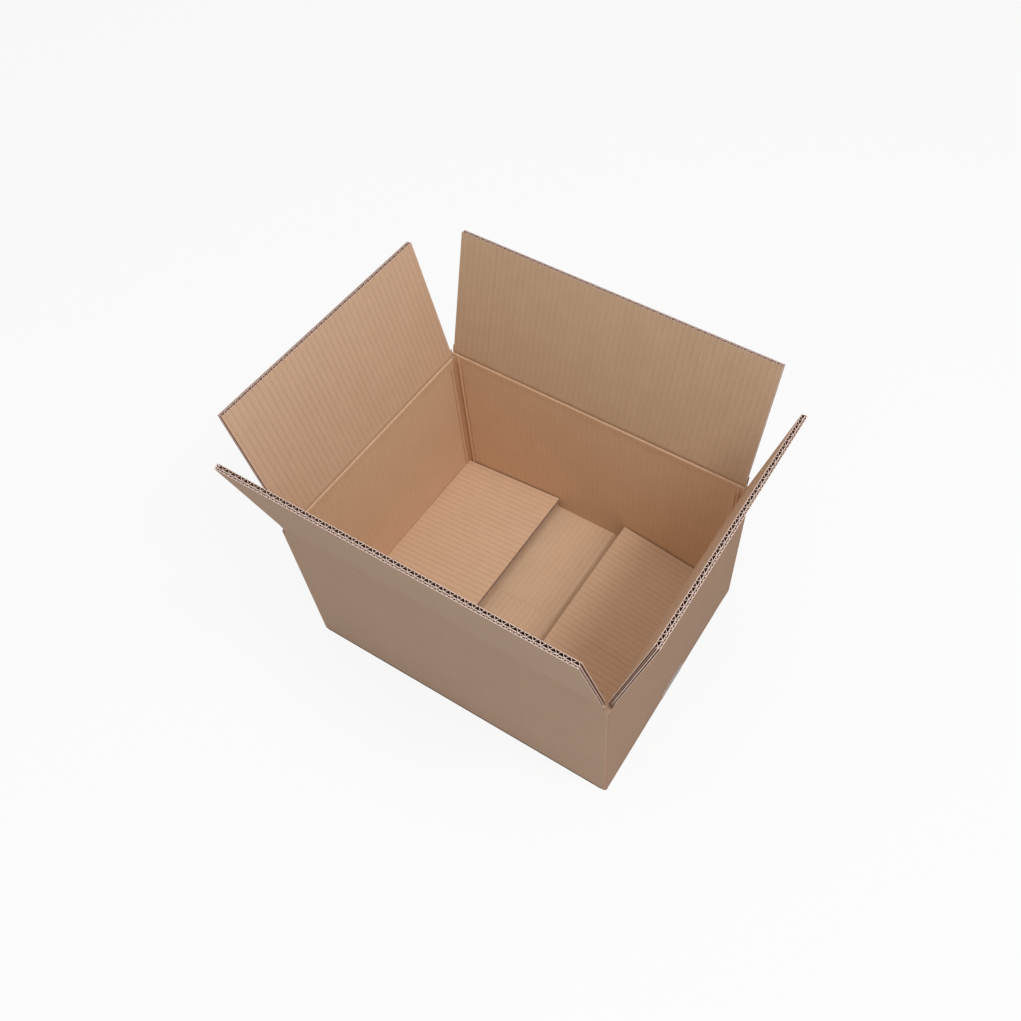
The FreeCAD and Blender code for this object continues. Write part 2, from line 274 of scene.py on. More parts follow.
def kraft_liner(name, colour, deep, along, pitch, ridge):
    """Kraft paper over flutes. along is the axis that the flutes follow one another on."""
    material, tree = new_material(name)
    position = add(tree, "ShaderNodeTexCoord").outputs["Object"]
    clouds = add(
        tree, "ShaderNodeTexNoise", {"Vector": position}, Scale=1 / CLOUD_SIZE, Detail=3.0, Roughness=0.6,
    )
    specks = add(
        tree, "ShaderNodeTexNoise", {"Vector": position}, Scale=1 / SPECK_SIZE, Detail=4.0, Roughness=0.7,
    )
    ridges = add(
        tree, "ShaderNodeTexWave", {"Vector": position}, bands_direction=along, Scale=WAVE_UNIT / pitch,
        Distortion=0.5, Detail=1.0, Detail_Scale=0.2,
    )
    mottle = add(
        tree, "ShaderNodeMix", {"A": clouds.outputs["Fac"], "B": specks.outputs["Fac"]}, data_type="FLOAT",
        Factor=0.6,
    )
    # A tenth of the washboard pattern also tints the colour: painted shade along the ridges, over the fibres'
    # mottling
    shade = add(
        tree, "ShaderNodeMix", {"A": mottle.outputs["Result"], "B": ridges.outputs["Fac"]}, data_type="FLOAT",
        Factor=0.1,
    )
    ramp = add(tree, "ShaderNodeValToRGB", {"Fac": shade.outputs["Result"]})
    for element, stop, brown in zip(ramp.color_ramp.elements, (0.3, 0.7), (deep, colour)):
        element.position = stop
        element.color = linear(brown)
    relief = add(tree, "ShaderNodeBump", {"Height": ridges.outputs["Fac"]}, Strength=1.0, Distance=ridge)
    fibre = add(
        tree, "ShaderNodeBump", {"Height": specks.outputs["Fac"], "Normal": relief.outputs["Normal"]},
        Strength=0.35, Distance=FIBRE_RELIEF,
    )
    shader = add(
        tree, "ShaderNodeBsdfPrincipled",
        {"Base Color": ramp.outputs["Color"], "Normal": fibre.outputs["Normal"]},
        Roughness=0.82, Specular_IOR_Level=0.3,
    )
    add(tree, "ShaderNodeOutputMaterial", {"Surface": shader.outputs[0]})
    return material


# %% [markdown]
# Some papers show no washboard: the fluted papers themselves, the cut edges, and paper that was crushed flat.
# They share a plainer function, with the same fibres.

# %% Plain papers
def plain_paper(name, colour, roughness):
    """Paper with fibres but no ridges, such as the fluted papers and the cut edges."""
    material, tree = new_material(name)
    position = add(tree, "ShaderNodeTexCoord").outputs["Object"]
    specks = add(tree, "ShaderNodeTexNoise", {"Vector": position}, Scale=1 / SPECK_SIZE, Detail=3.0)
    bump = add(
        tree, "ShaderNodeBump", {"Height": specks.outputs["Fac"]}, Strength=0.3, Distance=0.15 * MM,
    )
    shader = add(
        tree, "ShaderNodeBsdfPrincipled", {"Normal": bump.outputs["Normal"]}, Base_Color=linear(colour),
        Roughness=roughness, Specular_IOR_Level=0.25,
    )
    add(tree, "ShaderNodeOutputMaterial", {"Surface": shader.outputs[0]})
    return material


# %% [markdown]
# Each group of faces has its own brown. Inside the box the paper is pale and warm. The flaps' inner faces are
# the same paper drawn greyer and darker, with the long walls' flaps darkest. That is painted shade, for flaps
# that stand up against the light while the inside glows with light bounced between the walls. The outside is
# darker, and a little darker and warmer on the end walls than on the long walls. The washboard is strongest
# on the flaps' inner faces and hardly shows outside, where the flutes are small.

# %% The papers of the sheet
INSIDE, INSIDE_DEEP = "#E3C3A4", "#D8B797"
# The flaps' brown is the inside paper made greyer and darker: painted shade on the standing flaps
FLAP, FLAP_DEEP = "#C6A98C", "#BB9D80"
papers = {
    "X": {
        "inner": kraft_liner("kraft_inside_long", INSIDE, INSIDE_DEEP, "X", LARGE_PITCH, 0.04 * MM),
        "outer": kraft_liner("kraft_outside_long", "#AE917B", "#A68974", "X", SMALL_PITCH, 0.006 * MM),
        "flap": kraft_liner("kraft_inside_long_flap_painted_shade", FLAP, FLAP_DEEP, "X", LARGE_PITCH, 0.055 * MM),
    },
    "Y": {
        "inner": kraft_liner("kraft_inside_end", INSIDE, INSIDE_DEEP, "Y", LARGE_PITCH, 0.01 * MM),
        "outer": kraft_liner("kraft_outside_end", "#A6866E", "#9E7E67", "Y", SMALL_PITCH, 0.006 * MM),
        # Painted shade, a little lighter than on the long walls' flaps: the end walls' flaps
        "flap": kraft_liner("kraft_inside_end_flap_painted_shade", "#D8B79B", "#CDAB8E", "Y", LARGE_PITCH, 0.01 * MM),
    },
}
# Fluting is rough recycled paper: dark waves in the open edge
fluted_paper = plain_paper("fluting_paper", "#8C6350", 0.9)
# A cut edge shows loose pale fibres: fine light lines along each paper
cut_paper = plain_paper("cut_board_edge", "#DDC4B8", 0.9)
# Liner that was crushed beside a fold: smooth, with no ridges, and darker, which paints the shade in the
# recessed corner bands and the grooves beside the beads
crushed_paper_painted_shade = plain_paper("crushed_kraft_painted_shade", "#CDA381", 0.85)
print("papers:", [m.name for m in bpy.data.materials])

# %% [markdown]
# ## A sheet of fluted paper
# A fluting roll presses the same wave into the paper over and over. So one wave is modelled from a plane, and
# an Array modifier repeats it along the board. The cuts at both ends come after that, as the die cuts real
# board wherever the edge falls. A liner is made in the same way, with a wave so low that it only lets the
# flutes show.

# %% One paper of the board
WAVE_STEPS = 8


def paper(pitch, height, middle, thickness, side, span, low, high):
    """A paper across the board, waved by height. middle is its mean place through the thickness."""
    count = math.ceil(span / pitch)
    left = -count * pitch / 2
    bpy.ops.object.select_all(action="DESELECT")
    bpy.ops.mesh.primitive_plane_add(
        size=1, rotation=(math.pi / 2, 0, 0), location=(left + pitch / 2, middle, (low + high) / 2),
    )
    sheet = bpy.context.object
    sheet.scale = (pitch, high - low, 1)
    settle(sheet)
    edit(sheet)
    for step in range(WAVE_STEPS + 1):
        column = left + pitch * step / WAVE_STEPS
        if 0 < step < WAVE_STEPS:
            cut((column, 0, 0), (1, 0, 0))
        rise = height / 2 * math.cos(2 * math.pi * step / WAVE_STEPS)
        pull(lambda co: near(co.x, column), (0, rise, 0))
    leave()
    modify(
        sheet, "ARRAY", use_relative_offset=False, use_constant_offset=True,
        constant_offset_displace=(pitch, 0, 0), count=count, use_merge_vertices=True, merge_threshold=SLACK,
    )
    edit(sheet)
    for end in (-1, 1):
        cut((end * span / 2, 0, 0), (end, 0, 0), clear_outer=True)
    leave()
    sheet.data.materials.append(side)
    sheet.data.materials.append(cut_paper)
    modify(sheet, "SOLIDIFY", thickness=thickness, offset=0, material_offset_rim=1)
    return sheet


# %% [markdown]
# ## Board from five papers
# A board could be a slab with a picture of flutes on its edge. Five real papers cost more faces, but the
# edge then has depth from every side and catches shadow. The liners wave by a few hundredths of a
# millimetre, which is what glue and drying do to them.

# %% The board, and its place in the box
INNER_WAVE = 0.02 * MM
OUTER_WAVE = 0.04 * MM


def board(name, span, low, high, along, inside="inner"):
    """Five papers. Local X runs along the crease, +Y is the inner face, and Z goes to the free edge."""
    large = INNER_FACE - LINER - LARGE_FLUTE / 2
    middle = INNER_FACE - LINER - LARGE_FLUTE - LINER / 2
    small = OUTER_FACE + LINER + SMALL_FLUTE / 2
    layers = [
        (LARGE_PITCH, INNER_WAVE, INNER_FACE - LINER / 2, LINER - INNER_WAVE, papers[along][inside]),
        (LARGE_PITCH, LARGE_FLUTE - FLUTED_PAPER, large, FLUTED_PAPER, fluted_paper),
        (LARGE_PITCH, INNER_WAVE, middle, LINER, fluted_paper),
        (SMALL_PITCH, SMALL_FLUTE - FLUTED_PAPER, small, FLUTED_PAPER, fluted_paper),
        (SMALL_PITCH, OUTER_WAVE, OUTER_FACE + LINER / 2, LINER - OUTER_WAVE, papers[along]["outer"]),
    ]
    return join(name, [paper(pitch, height, depth, thickness, side, span, low, high)
                       for pitch, height, depth, thickness, side in layers])


def place(obj, origin, across, inward, up):
    """Moves a piece from its own axes to the box: its X, Y and Z turn to across, inward and up."""
    turn = Matrix((across, inward, up)).transposed().to_4x4()
    obj.matrix_world = Matrix.Translation(origin) @ turn
    settle(obj)


# %% [markdown]
# Board that was bent or leaned on keeps a faint line along its flutes. Three close cuts through the inner
# paper leave a middle column of corners, and moving that column in or out presses the line.

# %% Pressed lines
PRESS_SIDE = 1.2 * MM


def press(sheet, across, depth, low=None):
    """A line pressed into the inner paper, across the sheet at local X. A negative depth raises it."""
    edit(sheet)
    for beside in (-PRESS_SIDE, 0, PRESS_SIDE):
        cut((across + beside, 0, 0), (1, 0, 0))
    if low:
        cut((0, 0, low), (0, 0, 1))
    count = pull(
        lambda co: near(co.x, across) and co.y > INNER_FACE - LINER - 0.1 * MM
        and co.z > (low or -1) - SLACK,
        (0, -depth, 0),
    )
    leave()
    print("pressed line at", round(across / MM), "mm over", count, "points")


# %% [markdown]
# ## The four top flaps
# Each flap is board from its crease to its free edge. It is modelled upright on its fold line and then turned
# out about it by the lean that the joint gives. Real flaps are slotted a little narrower than the box, which
# keeps them clear of each other when they close, so each board is trimmed at its two sides.

# %% Where each flap stands
SLOT_TRIM = {"X": 1.2 * MM, "Y": 2.4 * MM}
# Across, depth and lower end of the lines that show on the back flap
PRESSED = {"back_flap": [(145 * MM, -0.25 * MM, 0), (-83 * MM, 0.3 * MM, 60 * MM)]}
flap_axes = {
    "front_flap": ("top_flap_front", "X", LONG_SPAN, LONG_REACH),
    "back_flap": ("top_flap_back", "X", LONG_SPAN, LONG_REACH),
    "left_flap": ("top_flap_left", "Y", SHORT_SPAN, SHORT_REACH),
    "right_flap": ("top_flap_right", "Y", SHORT_SPAN, SHORT_REACH),
}


def flap_frame(body, lean):
    """The fold line's middle and a flap's own three axes in the box."""
    joint = folds[body]
    axis = Vector(joint["axis"])
    turn = Matrix.Rotation(lean, 3, axis)
    up = turn @ Vector((0, 0, 1))
    inward = turn @ Vector((0, 0, 1)).cross(axis)
    return Vector(joint["pos_m"]), axis, inward, up


print("flaps trimmed by", {along: round(trim / MM, 1) for along, trim in SLOT_TRIM.items()}, "mm a side")

# %% [markdown]
# At the crease a wheel pressed the board flat, and the flutes there are a solid mat of paper. A low block
# with a rounded foot fills them. It stops short of the side edges, where the open flutes show.

# %% The flaps
CORE_LOW, CORE_HIGH = -1.8 * MM, 6 * MM
CORE_END = 6 * MM
CORE_ROUND = 1.2 * MM
for body, (node, along, span, reach) in flap_axes.items():
    flap = board(node + "_board", span - 2 * SLOT_TRIM[along], 0, reach, along, "flap")
    for across, depth, low in PRESSED.get(body, []):
        press(flap, across, depth, low)
    core = block(
        "crushed_core", (CORE_END - span / 2, OUTER_FACE + LINER, CORE_LOW),
        (span / 2 - CORE_END, INNER_FACE - LINER, CORE_HIGH),
    )
    edit(core)
    pick("EDGE", lambda co: near(co.z, CORE_LOW))
    bpy.ops.mesh.bevel(offset=CORE_ROUND, segments=3)
    leave()
    core.data.materials.append(fluted_paper)
    flap = join(node + "_board", [flap, core])
    origin, axis, inward, up = flap_frame(body, folds[body]["lean"])
    place(flap, origin, axis, inward, up)
    smooth(flap)
    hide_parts(node)
    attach(flap, body)
    print(flap.name, len(flap.data.polygons), "faces")

# %% [markdown]
# ## The walls
# The walls are a ring of the same board. No cut edge of theirs shows its flutes, so they can be solid. A
# plane with rounded corners gives the outer outline, and a second one with cut corners gives the inner one,
# because the board is crushed flat across each inside corner. Bridging the two outlines makes the ring.

# %% The ring of walls
FOOT = 3.4 * MM
CORNER_ROUND = 4 * MM
CORNER_FLAT = 5.5 * MM


def outline_plane(name, half_x, half_y, low, corner, segments):
    """The outline of a rectangle whose corners are rounded, or cut when segments is 1."""
    bpy.ops.object.select_all(action="DESELECT")
    bpy.ops.mesh.primitive_plane_add(size=1, location=(0, 0, low))
    obj = bpy.context.object
    obj.name = name
    obj.scale = (2 * half_x, 2 * half_y, 1)
    settle(obj)
    edit(obj)
    bpy.ops.mesh.select_all(action="SELECT")
    bpy.ops.mesh.bevel(offset=corner, segments=segments, affect="VERTICES")
    bpy.ops.mesh.select_all(action="SELECT")
    bpy.ops.mesh.delete(type="ONLY_FACE")
    leave()
    return obj


inner_x, inner_y = HALF_LENGTH - BOARD, HALF_WIDTH - BOARD
outer_ring = outline_plane("outer", HALF_LENGTH, HALF_WIDTH, FOOT, CORNER_ROUND, 5)
inner_ring = outline_plane("inner", inner_x, inner_y, FOOT, CORNER_FLAT, 1)
walls = join("walls", [outer_ring, inner_ring])
edit(walls)
bpy.ops.mesh.select_mode(type="EDGE")
bpy.ops.mesh.select_all(action="SELECT")
bpy.ops.mesh.bridge_edge_loops()
leave()
print("ring with", len(walls.data.vertices), "points")

# %% [markdown]
# The ring is pulled up to the end walls' tops, and the long walls' tops are pulled up once more by one board.
# Both stay a hair below the flaps' roots, so that a closing flap doesn't cut into the wall.

# %% The height of the walls
TOP_GAP = 0.5 * MM
SHORT_TOP = END_WALL_TOP - TOP_GAP
edit(walls)
bpy.ops.mesh.select_all(action="SELECT")
bpy.ops.mesh.extrude_region_move(TRANSFORM_OT_translate={"value": (0, 0, SHORT_TOP - FOOT)})
for side in (-1, 1):
    cut((side * LONG_SPAN / 2, 0, 0), (1, 0, 0))
bpy.ops.mesh.select_all(action="SELECT")
bpy.ops.mesh.normals_make_consistent(inside=False)
pick("FACE", lambda co: near(co.z, SHORT_TOP) and abs(co.x) < LONG_SPAN / 2 + SLACK
     and abs(co.y) > inner_y - SLACK)
bpy.ops.mesh.extrude_region_move(TRANSFORM_OT_translate={"value": (0, 0, LAP)})
leave()
wall_top = max(v.co.z for v in walls.data.vertices)
print("walls", len(walls.data.polygons), "faces, top at", round(wall_top / MM, 1), "mm")

# %% [markdown]
# At each inside corner the crushed stretch lies between two raised beads, where the flutes were squeezed
# aside. A bead could be a separate roll of paper, but it is one skin with the wall, so it is pulled out of
# it: cuts beside the bead's line leave columns of corners, and each column moves by its share of the rise.

# %% Cuts beside the inside corners
# Each column's distance from the crushed stretch, and its share of the bead's rise
bead_columns = (
    (4.4 * MM, 0), (3.5 * MM, -0.45), (2.7 * MM, 0.35), (1.9 * MM, 0.95), (1.0 * MM, 1), (0.2 * MM, 0.5),
)
edit(walls)
for side in (-1, 1):
    for beside, share in bead_columns:
        cut((side * (inner_x - CORNER_FLAT - beside), 0, 0), (1, 0, 0))
        cut((0, side * (inner_y - CORNER_FLAT - beside), 0), (0, 1, 0))
leave()
print("walls", len(walls.data.polygons), "faces with the bead columns")

# %% [markdown]
# A cut along each corner's diagonal lets the middle of the crushed stretch be pushed back, and a cut on
# either side of it keeps the rest of the corner where it is.

# %% Beads and crushed corners
BEAD_RISE = 1.5 * MM
CRUSH_DEPTH = 1.8 * MM
CRUSH_HALF = 1.9 * MM
DIAGONAL_SIDE = 3.4 * MM
edit(walls)
for side_x in (-1, 1):
    for side_y in (-1, 1):
        corner = (side_x * inner_x, side_y * inner_y)
        for off in (-DIAGONAL_SIDE, 0, DIAGONAL_SIDE):
            cut((corner[0] + off * side_x, corner[1], 0), (side_x, -side_y, 0))
        for beside, share in bead_columns:
            column = side_x * (inner_x - CORNER_FLAT - beside)
            pull(lambda co: near(co.x, column) and near(co.y, corner[1]),
                 (0, -side_y * share * BEAD_RISE, 0))
            column = side_y * (inner_y - CORNER_FLAT - beside)
            pull(lambda co: near(co.y, column) and near(co.x, corner[0]),
                 (-side_x * share * BEAD_RISE, 0, 0))
        count = pull(
            lambda co: near((corner[0] - co.x) * side_x + (corner[1] - co.y) * side_y, CORNER_FLAT)
            and abs((corner[0] - co.x) * side_x - CORNER_FLAT / 2) < CRUSH_HALF,
            (side_x * CRUSH_DEPTH * 0.7, side_y * CRUSH_DEPTH * 0.7, 0),
        )
        print("corner", side_x, side_y, "crushed along", count, "points")
leave()

# %% [markdown]
# The end walls stop a little above the ground, where the sheet folds in under the box, so their lower edges
# are rounded. Last come cuts just inside the outer corners. They hold the flat faces still, so that smooth
# shading bends only the rounded folds.

# %% The walls' lower folds and outer corners
FOOT_ROUND = 2.4 * MM
HOLD = CORNER_ROUND + 0.6 * MM
edit(walls)
pick("EDGE", lambda co: near(co.z, FOOT) and near(abs(co.x), HALF_LENGTH))
bpy.ops.mesh.bevel(offset=FOOT_ROUND, segments=4)
for side in (-1, 1):
    cut((side * (HALF_LENGTH - HOLD), 0, 0), (1, 0, 0))
    cut((0, side * (HALF_WIDTH - HOLD), 0), (0, 1, 0))
leave()
print("walls", len(walls.data.polygons), "faces in all")

# %% [markdown]
# Each face of the ring then gets its paper by its place: outside or inside, along X or Y, the cut tops of the
# long walls, and the crushed bands in the corners and the grooves beside the beads. Their darker paper is
# painted shade in these recesses.

# %% The walls' papers
OUTER_SKIN = 4.2 * MM
GROOVE = (2.8 * MM, 4.3 * MM)
for kind in ("inner", "outer"):
    walls.data.materials.append(papers["X"][kind])
    walls.data.materials.append(papers["Y"][kind])
walls.data.materials.append(cut_paper)
walls.data.materials.append(crushed_paper_painted_shade)
for face in walls.data.polygons:
    across, aside = abs(face.center.x), abs(face.center.y)
    outside = across > HALF_LENGTH - OUTER_SKIN or aside > HALF_WIDTH - OUTER_SKIN
    long_side = abs(face.normal.y) > abs(face.normal.x)
    face.material_index = (2 if outside else 0) + (0 if long_side else 1)
    beside = max(inner_x - CORNER_FLAT - across, inner_y - CORNER_FLAT - aside)
    # The recessed corner bands and the grooves beside the beads get the darker crushed paper: painted shade
    crushed_band_shade = not outside and (beside < 0 or GROOVE[0] < beside < GROOVE[1])
    if face.normal.z > 0.9:
        face.material_index = 4 if across < LONG_SPAN / 2 else 2
    elif crushed_band_shade:
        face.material_index = 5
smooth(walls)
print("crushed faces:", sum(face.material_index == 5 for face in walls.data.polygons))

# %% [markdown]
# ## The floor
# The two long bottom flaps meet under the middle of the floor. Each is the same board as the top flaps, laid
# flat, because its cut edge shows in the seam. Where it turns up into the long wall it gets a solid strip
# with a rounded outer edge, which stands for the folded and crushed board.

# %% Long bottom flaps
BOTTOM_SEAM = 0.12 * MM
FOLD_ROUND = 3 * MM
# The strip reaches this share of the inner half width, and its top stays under the short flaps
FOLD_SHARE = 0.96
FOLD_TOP = BOARD - 0.5 * MM
bottom = []
for side in (-1, 1):
    length = HALF_WIDTH - BOTTOM_SEAM / 2 - FOLD_ROUND
    flap = board("long_bottom", LONG_SPAN, 0, length, "X")
    start = Vector((0, side * (HALF_WIDTH - FOLD_ROUND), -OUTER_FACE))
    place(flap, start, Vector((side, 0, 0)), Vector((0, 0, 1)), Vector((0, -side, 0)))
    ends = sorted((side * inner_y * FOLD_SHARE, side * HALF_WIDTH))
    rim = block("long_fold", (-LONG_SPAN / 2, ends[0], 0), (LONG_SPAN / 2, ends[1], FOLD_TOP))
    edit(rim)
    pick("EDGE", lambda co: near(co.z, 0) and near(abs(co.y), HALF_WIDTH))
    bpy.ops.mesh.bevel(offset=FOLD_ROUND, segments=4)
    leave()
    rim.data.materials.append(papers["X"]["outer"])
    smooth(rim)
    bottom += [flap, rim]
print("long bottom flaps", sum(len(piece.data.polygons) for piece in bottom), "faces")

# %% [markdown]
# The two short bottom flaps lie on the long ones. They were never pressed flat, so they spring up a little
# towards their free edges, and a dark slot runs along the walls beside them. A few pressed lines cross them
# along the flutes, where the board was bent.

# %% Short bottom flaps
BOTTOM_REACH = 151.3 * MM
FOLD_SLOT = 1.1 * MM
tilts = {-1: math.radians(5.6), 1: math.radians(9.4)}
scores = {
    -1: [(76 * MM, 0.15 * MM), (14 * MM, 0.15 * MM)],
    1: [(-110 * MM, 0.25 * MM), (-62.5 * MM, 0.35 * MM), (14 * MM, 0.35 * MM)],
}
for side, tilt in tilts.items():
    length = (BOTTOM_REACH - BOARD) / math.cos(tilt)
    flap = board("short_bottom", SHORT_SPAN - 2 * FOLD_SLOT, FOLD_SLOT, length, "Y")
    for across, depth in scores[side]:
        press(flap, across, depth)
    up = Vector((-side * math.cos(tilt), 0, math.sin(tilt)))
    inward = Vector((side * math.sin(tilt), 0, math.cos(tilt)))
    start = Vector((side * inner_x, 0, LAP)) - OUTER_FACE * inward
    place(flap, start, inward.cross(up), inward, up)
    bottom.append(flap)
print("bottom flaps", sum(len(piece.data.polygons) for piece in bottom), "faces")

# %% [markdown]
# The glue tab holds the sheet's two ends together. It lies flat on the inside of the right end wall, by the
# back corner, with its two ends cut at a slope. It is pressed thin, so a block with sloped ends and rounded
# edges is enough.

# %% The glue tab
TAB = 3 * MM
TAB_WIDTH = 38 * MM
TAB_SLOPE = 10 * MM
TAB_CLEAR = 8 * MM
TAB_ROUND = 1 * MM
tab_low, tab_high = LAP + BOARD + TAB_CLEAR, END_WALL_TOP - TAB_CLEAR
tab = block("glue_tab", (inner_x - TAB, inner_y - TAB_WIDTH, tab_low), (inner_x, inner_y, tab_high))
edit(tab)
for end, shift in ((tab_low, TAB_SLOPE), (tab_high, -TAB_SLOPE)):
    pull(lambda co: near(co.z, end) and near(co.y, inner_y - TAB_WIDTH), (0, 0, shift))
pick("EDGE", lambda co: near(co.x, inner_x - TAB) and co.y < inner_y - TAB_ROUND)
bpy.ops.mesh.bevel(offset=TAB_ROUND, segments=3)
leave()
tab.data.materials.append(papers["Y"]["inner"])
smooth(tab)

# %% [markdown]
# Walls, tab and bottom flaps are one sheet, so they are joined into one piece that stands for the solid.

# %% The folded sheet
box_pieces = join("folded_box", [walls, tab] + bottom)
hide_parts("box_body")
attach(box_pieces, "box")
print("folded box", len(box_pieces.data.polygons), "faces")

# %% [markdown]
# ## The creases of the top flaps
# The board's outer and inner papers run on across each fold. Each is a narrow strip that follows the wall at
# its lower edge and the flap at its upper one, and bends between them when the flap turns. The section of the
# strip is a list of points up the fold: inside, the paper swells into a low bead and then dips into the line
# that the creasing wheel pressed.

# %% Sections of the creases
WALL_HOLD, FLAP_HOLD = -5.5 * MM, 1.2 * MM
outer_section = [(OUTER_FACE, z * MM) for z in (-9, -6.5, -5, -3.8, -2.6, -1.4, -0.2, 1, 2.2, 4, 7)]
inner_section = [
    (INNER_FACE + rise * MM, height * MM) for rise, height in (
        (0, -20), (0.08, -16), (0.25, -12.5), (0.5, -9.5), (0.68, -7.5), (0.72, -6.3), (0.6, -5.4),
        (0.25, -4.7), (-0.3, -4.2), (-0.7, -3.8), (-0.75, -3.3), (-0.5, -2.6), (-0.25, -1.6), (-0.08, 0),
        (0, 2.4), (0, 7),
    )
]
# The strip lies just proud of the board, and its two borders run in under the board's paper.
PROUD, BURIED = 0.06 * MM, -0.04 * MM


def lean_share(height):
    """How much of the flap's lean the paper has at a height: none at the wall, all of it at the flap."""
    share = min(1, max(0, (height - WALL_HOLD) / (FLAP_HOLD - WALL_HOLD)))
    return share * share * (3 - 2 * share)


def section_spots(section, lean, sign):
    """The section's points, turned out with the flap."""
    spots = []
    for depth, height in section:
        proud = BURIED if (depth, height) in (section[0], section[-1]) else PROUD
        turn = Matrix.Rotation(lean * lean_share(height), 2)
        spots.append(turn @ Vector((depth + sign * proud, height)))
    return spots


print("outer crease", len(outer_section), "points, inner crease", len(inner_section), "points")

# %% [markdown]
# A strip is drawn by pulling the upper edge of a plane along the section, one step at a time. The paper
# inside the fold was squeezed, so it is crumpled: cuts every few millimetres and a small random move of the
# corners, with a fixed seed, break the bead's straight highlight.

# %% Drawing a strip
CRUMPLE_STEP = 4.5 * MM
CRUMPLE = 0.16 * MM
CRUMPLE_LOW, CRUMPLE_HIGH = -9 * MM, -2.9 * MM
CRUMPLE_END = 1 * MM


def draw_strip(name, spots, span):
    """A plane whose upper edge is extruded along the section's points. It is left in edit mode."""
    bpy.ops.object.select_all(action="DESELECT")
    bpy.ops.mesh.primitive_plane_add(size=1, rotation=(math.pi / 2, 0, 0))
    strip = bpy.context.object
    strip.name = strip.data.name = name
    settle(strip)
    edit(strip)
    for end, spot in ((-0.5, spots[0]), (0.5, spots[1])):
        pick("VERT", lambda co: near(co.z, end))
        bpy.ops.transform.resize(value=(span, 1, 1), center_override=(0, 0, 0))
        bpy.ops.transform.translate(value=(0, spot.x, spot.y - end))
    pick("EDGE", lambda co: near(co.z, spots[1].y))
    for before, spot in zip(spots[1:], spots[2:]):
        step = (0, spot.x - before.x, spot.y - before.y)
        bpy.ops.mesh.extrude_edges_move(TRANSFORM_OT_translate={"value": step})
    return strip


def crumple(span, seed):
    """Small folds across the bead of the strip that is being edited."""
    steps = int(span / CRUMPLE_STEP / 2)
    for column in range(1 - steps, steps):
        cut((column * CRUMPLE_STEP, 0, 0), (1, 0, 0))
    pick("VERT", lambda co: CRUMPLE_LOW < co.z < CRUMPLE_HIGH and abs(co.x) < span / 2 - CRUMPLE_END)
    bpy.ops.transform.vertex_random(offset=CRUMPLE, normal=0, seed=seed)


# %% Crease strips
STRIP_PAPER = 0.3 * MM
PAPER_CHANGE = -3.6 * MM


def crease_strip(name, body, section, span, sign, along):
    """A strip of liner across a fold. sign is 1 for the inside and -1 for the outside."""
    strip = draw_strip(name, section_spots(section, folds[body]["lean"], sign), span)
    if sign == 1:
        crumple(span, len(name))
    bpy.ops.mesh.select_all(action="SELECT")
    bpy.ops.mesh.normals_make_consistent(inside=False)
    leave()
    if strip.data.polygons[0].normal.y * sign < 0:
        edit(strip)
        bpy.ops.mesh.select_all(action="SELECT")
        bpy.ops.mesh.flip_normals()
        leave()
    strip.data.materials.append(papers[along]["inner" if sign == 1 else "outer"])
    # Above the paper change the inner strip takes the flaps' darker paper, which is painted shade as on the
    # flaps
    strip.data.materials.append(papers[along]["flap" if sign == 1 else "outer"])
    for face in strip.data.polygons:
        face.material_index = 1 if face.center.z > PAPER_CHANGE else 0
    modify(strip, "SOLIDIFY", thickness=STRIP_PAPER, offset=-1)
    origin, axis, inward, up = flap_frame(body, 0)
    place(strip, origin, axis, inward, up)
    smooth(strip, 60)
    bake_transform(strip)


for body, (node, along, span, reach) in flap_axes.items():
    crease_strip(node + "_outer_crease", body, outer_section, span, -1, along)
    crease_strip(node + "_inner_crease", body, inner_section, span, 1, along)

# %% [markdown]
# ## Packing tape
# Clear packing tape is a thin stretched plastic film with glue on one side. It is glossy, and where it lies
# on brown board it looks a little greyer and cooler than the paper round it. The solid already has its flat
# shape, so it keeps it and only gets a see-through film.

# %% The tape's material
tape_material, tree = new_material("clear_packing_tape")
film = add(
    tree, "ShaderNodeBsdfPrincipled", Base_Color=linear("#DCD3CD"), Roughness=0.15, IOR=1.49, Alpha=0.4,
)
add(tree, "ShaderNodeOutputMaterial", {"Surface": film.outputs[0]})
tape = frame["nodes"]["bottom_tape"]
tape.data.materials.clear()
tape.data.materials.append(tape_material)
print(tape.name, "in", tape_material.name)

# %% [markdown]
# ## Floor and background
# The box stands on a pale matt floor in a white studio. Brighter lamps would whiten the floor but would
# bleach the box too, so the white comes from Light Path nodes: the camera, a reflection and what is seen
# through the tape get nearly white, while the floor and the surround light the box at a plain level. The
# share of white on the floor is under one, so the box keeps its soft shadow.

# %% The floor
FLOOR_WHITE = 0.88


def seen_directly(tree):
    """1 where the camera, a reflection or a see-through surface looks straight at it, and 0 elsewhere."""
    ray = add(tree, "ShaderNodeLightPath")
    seen = add(
        tree, "ShaderNodeMath", {0: ray.outputs["Is Camera Ray"], 1: ray.outputs["Is Glossy Ray"]},
        operation="MAXIMUM",
    )
    seen = add(
        tree, "ShaderNodeMath", {0: seen.outputs[0], 1: ray.outputs["Is Transmission Ray"]},
        operation="MAXIMUM",
    )
    return seen.outputs[0]


